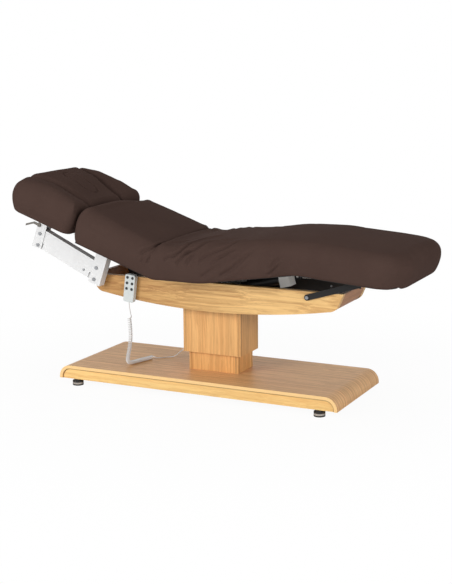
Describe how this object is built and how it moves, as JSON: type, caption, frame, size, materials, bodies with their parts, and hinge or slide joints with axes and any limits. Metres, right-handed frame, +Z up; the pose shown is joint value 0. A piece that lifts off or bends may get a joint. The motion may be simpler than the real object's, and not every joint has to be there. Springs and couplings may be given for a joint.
{
  "type": "electric spa bed",
  "caption": "Electric spa bed: padded sections with reclining back, height-set headrest and knee break on a wooden tray, lifting column and low wooden base, with a corded hand control.",
  "frame": {"origin": "on the floor under the middle of the bed's length and width", "axes": "+X from head to foot, +Y to the far side from the hand control, +Z up"},
  "size_m": [1.9629, 0.6504, 0.9931],
  "materials": {
    "oak_veneer": "satin lacquered pale wood veneer",
    "plywood": "black stained plywood",
    "leatherette": "soft dark brown leatherette over foam",
    "black_steel": "black powder coat",
    "white_steel": "white powder coat",
    "zinc": "bright zinc plate",
    "grey_plastic": "matte grey",
    "black_rubber": "matte black",
    "handset_plastic": "fine textured pale grey",
    "button_plastic": "satin dark grey",
    "cord_sheath": "satin white"
  },
  "bodies": {
    "base": {"base_top_panel": "oak_veneer", "base_side_boards": "oak_veneer", "levelling_feet": "black_rubber", "inner_column_cover": "oak_veneer", "lift_fixed_tube": "black_steel", "flange_bolts": "zinc", "lift_motor": "grey_plastic", "cord_gland": "cord_sheath", "curly_cord": "cord_sheath", "base_lead": "cord_sheath"},
    "bed": {"outer_column_cover": "oak_veneer", "lift_moving_tube": "black_steel", "mounting_plate": "black_steel", "tray_rails": "oak_veneer", "tray_end_boards": "oak_veneer", "control_box": "grey_plastic", "seat_board": "plywood", "seat_pad": "leatherette", "hip_fold": "leatherette", "thigh_fold": "leatherette", "hinge_ears": "black_steel", "hinge_shafts": "zinc", "leg_link_bolts": "zinc", "actuator_mounts": "black_steel", "back_actuator_barrel": "grey_plastic"},
    "back": {"back_board": "plywood", "back_pad": "leatherette", "back_crank_frame": "black_steel", "back_arm_brackets": "white_steel", "back_arm_bolts": "zinc"},
    "upper_arms": {"upper_arm_links": "white_steel", "arm_covers": "white_steel"},
    "lower_arms": {"lower_arm_links": "white_steel"},
    "headrest": {"head_board": "plywood", "head_center_pad": "leatherette", "head_wing_near": "leatherette", "head_wing_far": "leatherette", "head_arm_brackets": "white_steel", "head_arm_bolts": "zinc"},
    "lever": {"release_lever": "grey_plastic"},
    "thigh": {"thigh_board": "plywood", "thigh_pad": "leatherette", "knee_fold": "leatherette", "knee_shaft": "zinc", "thigh_frame": "black_steel"},
    "leg": {"leg_board": "plywood", "leg_pad": "leatherette", "leg_frame": "black_steel"},
    "links": {"leg_links": "black_steel"},
    "back_rod": {"back_actuator_rod": "zinc"},
    "leg_rod": {"leg_actuator_rod": "zinc"},
    "leg_barrel": {"leg_actuator_barrel": "grey_plastic"},
    "handset": {"handset_shell": "handset_plastic", "handset_lead": "cord_sheath"},
    "button_lift_up": {"button_lift_up": "button_plastic"},
    "button_lift_down": {"button_lift_down": "button_plastic"},
    "button_back_up": {"button_back_up": "button_plastic"},
    "button_back_down": {"button_back_down": "button_plastic"},
    "button_legs_up": {"button_legs_up": "button_plastic"},
    "button_legs_down": {"button_legs_down": "button_plastic"}
  },
  "joints": [
    {"name": "lift", "type": "slide", "parent": "base", "child": "bed", "axis": [0, 0, 1], "range_m": [0, 0.22], "deforming": ["curly_cord"]},
    {"name": "back_recline", "type": "hinge", "parent": "bed", "child": "back", "pos_m": [-0.218, 0, 0.556], "axis": [0, 1, 0], "range_deg": [-19.3, 45.7], "deforming": ["hip_fold"]},
    {"name": "back_rod_slide", "type": "slide", "parent": "bed", "child": "back_rod", "axis": [-1, 0, 0], "range_m": [-0.0242, 0.05689]},
    {"name": "head_lower_arms", "type": "hinge", "parent": "back", "child": "lower_arms", "pos_m": [-0.58361, 0, 0.51345], "axis": [0, 1, 0], "range_deg": [-20, 10]},
    {"name": "head_upper_arms", "type": "hinge", "parent": "back", "child": "upper_arms", "pos_m": [-0.56949, 0, 0.5689], "axis": [0, 1, 0], "range_deg": [-20.2, 10.2]},
    {"name": "head_level", "type": "hinge", "parent": "lower_arms", "child": "headrest", "pos_m": [-0.8961, 0, 0.6589], "axis": [0, 1, 0], "range_deg": [-10.2, 20.2]},
    {"name": "release_lever_press", "type": "hinge", "parent": "headrest", "child": "lever", "pos_m": [-0.88386, 0, 0.75739], "axis": [0, 1, 0], "range_deg": [0, 14], "stiffness_Nm_per_rad": 2, "springref_deg": -5.73},
    {"name": "thigh_raise", "type": "hinge", "parent": "bed", "child": "thigh", "pos_m": [0.024, 0, 0.556], "axis": [0, -1, 0], "range_deg": [-8.5, 13.5], "deforming": ["thigh_fold"]},
    {"name": "knee_bend", "type": "hinge", "parent": "thigh", "child": "leg", "pos_m": [0.48884, 0, 0.62547], "axis": [0, -1, 0], "range_deg": [-21.39, 13.54], "deforming": ["knee_fold"]},
    {"name": "leg_link_swing", "type": "hinge", "parent": "bed", "child": "links", "pos_m": [0.491, 0, 0.506], "axis": [0, -1, 0], "range_deg": [-12.27, 19.37]},
    {"name": "leg_rod_swing", "type": "hinge", "parent": "bed", "child": "leg_rod", "pos_m": [0.024, 0, 0.48], "axis": [0, -1, 0], "range_deg": [-8.22, 12.94]},
    {"name": "leg_rod_slide", "type": "slide", "parent": "leg_rod", "child": "leg_barrel", "axis": [0.9681, 0, 0.2505], "range_m": [-0.01113, 0.0175]},
    {"name": "handset_unhook", "type": "slide", "parent": "bed", "child": "handset", "axis": [0, 0, 1], "range_m": [0, 0.02]},
    {"name": "press_lift_up", "type": "slide", "parent": "handset", "child": "button_lift_up", "axis": [0, 1, 0], "range_m": [0, 0.0015], "stiffness_N_per_m": 400, "springref_m": -0.001},
    {"name": "press_lift_down", "type": "slide", "parent": "handset", "child": "button_lift_down", "axis": [0, 1, 0], "range_m": [0, 0.0015], "stiffness_N_per_m": 400, "springref_m": -0.001},
    {"name": "press_back_up", "type": "slide", "parent": "handset", "child": "button_back_up", "axis": [0, 1, 0], "range_m": [0, 0.0015], "stiffness_N_per_m": 400, "springref_m": -0.001},
    {"name": "press_back_down", "type": "slide", "parent": "handset", "child": "button_back_down", "axis": [0, 1, 0], "range_m": [0, 0.0015], "stiffness_N_per_m": 400, "springref_m": -0.001},
    {"name": "press_legs_up", "type": "slide", "parent": "handset", "child": "button_legs_up", "axis": [0, 1, 0], "range_m": [0, 0.0015], "stiffness_N_per_m": 400, "springref_m": -0.001},
    {"name": "press_legs_down", "type": "slide", "parent": "handset", "child": "button_legs_down", "axis": [0, 1, 0], "range_m": [0, 0.0015], "stiffness_N_per_m": 400, "springref_m": -0.001}
  ],
  "couplings": [
    {"joint": "back_rod_slide", "follows": "back_recline", "m_per_rad": 0.07095},
    {"joint": "head_upper_arms", "follows": "head_lower_arms", "ratio": 1},
    {"joint": "head_level", "follows": "head_lower_arms", "ratio": -1},
    {"joint": "knee_bend", "follows": "thigh_raise", "ratio": -1.57},
    {"joint": "leg_link_swing", "follows": "thigh_raise", "ratio": 1.42},
    {"joint": "leg_rod_swing", "follows": "thigh_raise", "ratio": 0.944},
    {"joint": "leg_rod_slide", "follows": "thigh_raise", "m_per_rad": 0.073}
  ]
}
